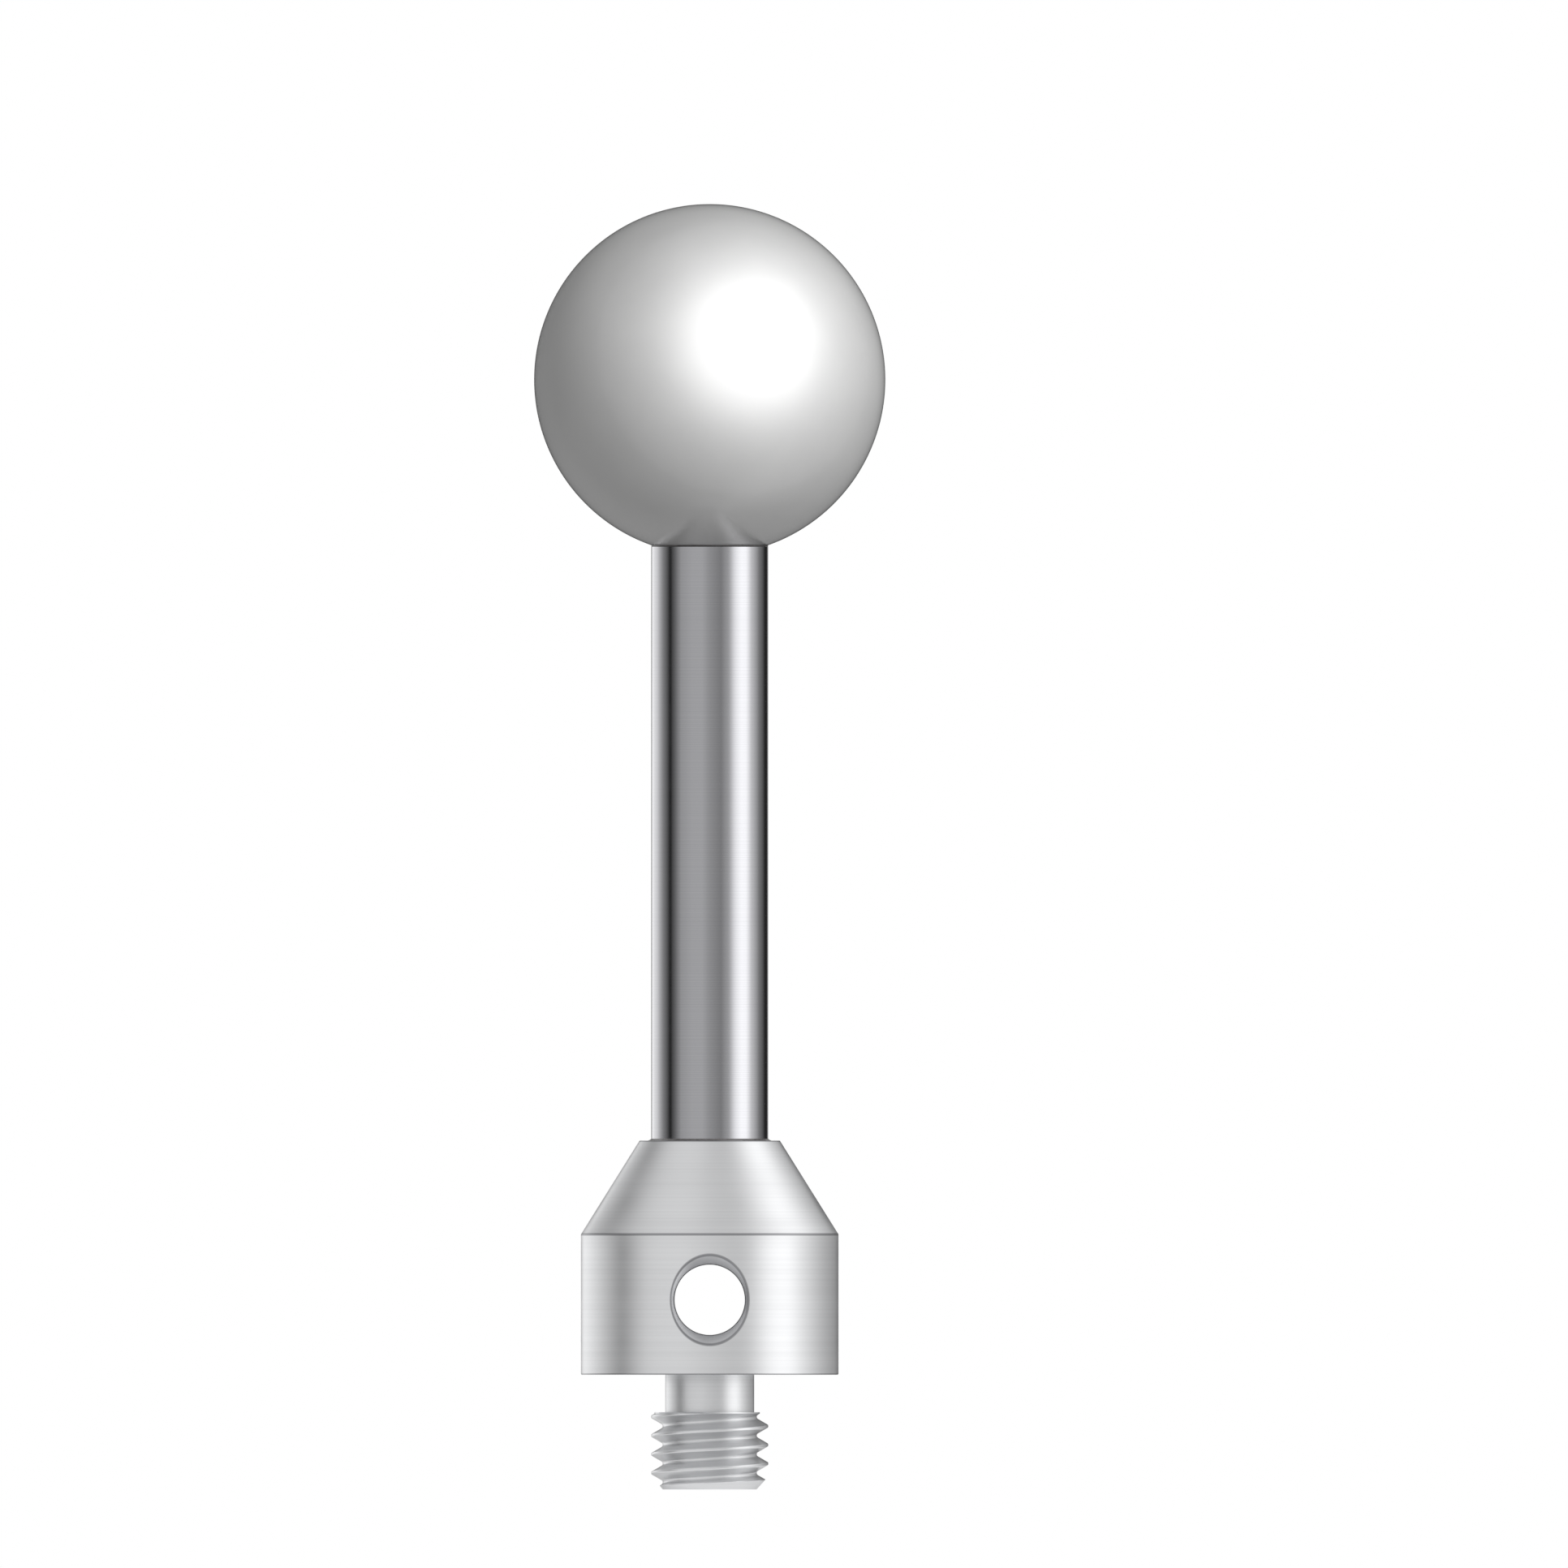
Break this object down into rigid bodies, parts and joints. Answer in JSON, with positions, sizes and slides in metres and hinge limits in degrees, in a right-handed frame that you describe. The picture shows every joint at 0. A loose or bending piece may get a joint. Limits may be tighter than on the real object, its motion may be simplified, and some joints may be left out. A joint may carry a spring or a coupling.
{
  "type": "cmm stylus",
  "caption": "Straight measuring stylus: a large ceramic ball on a round carbide stem, bonded into a steel base with a tool hole and a thread stub that screws into a probe.",
  "frame": {"origin": "centre of the base's seat face, from which the 50 mm length is measured", "axes": "+Z along the stem towards the ball, +Y along the tool hole through the base"},
  "size_m": [0.015, 0.015, 0.0549],
  "materials": {
    "ball_ceramic": "polished",
    "stem_carbide": "fine ground carbide",
    "base_steel": "fine turned stainless steel",
    "cured_adhesive": "satin"
  },
  "bodies": {
    "root": {"tip_ball": "ball_ceramic", "stem": "stem_carbide", "ball_adhesive": "cured_adhesive", "base": "base_steel", "stem_adhesive": "cured_adhesive"}
  },
  "joints": []
}
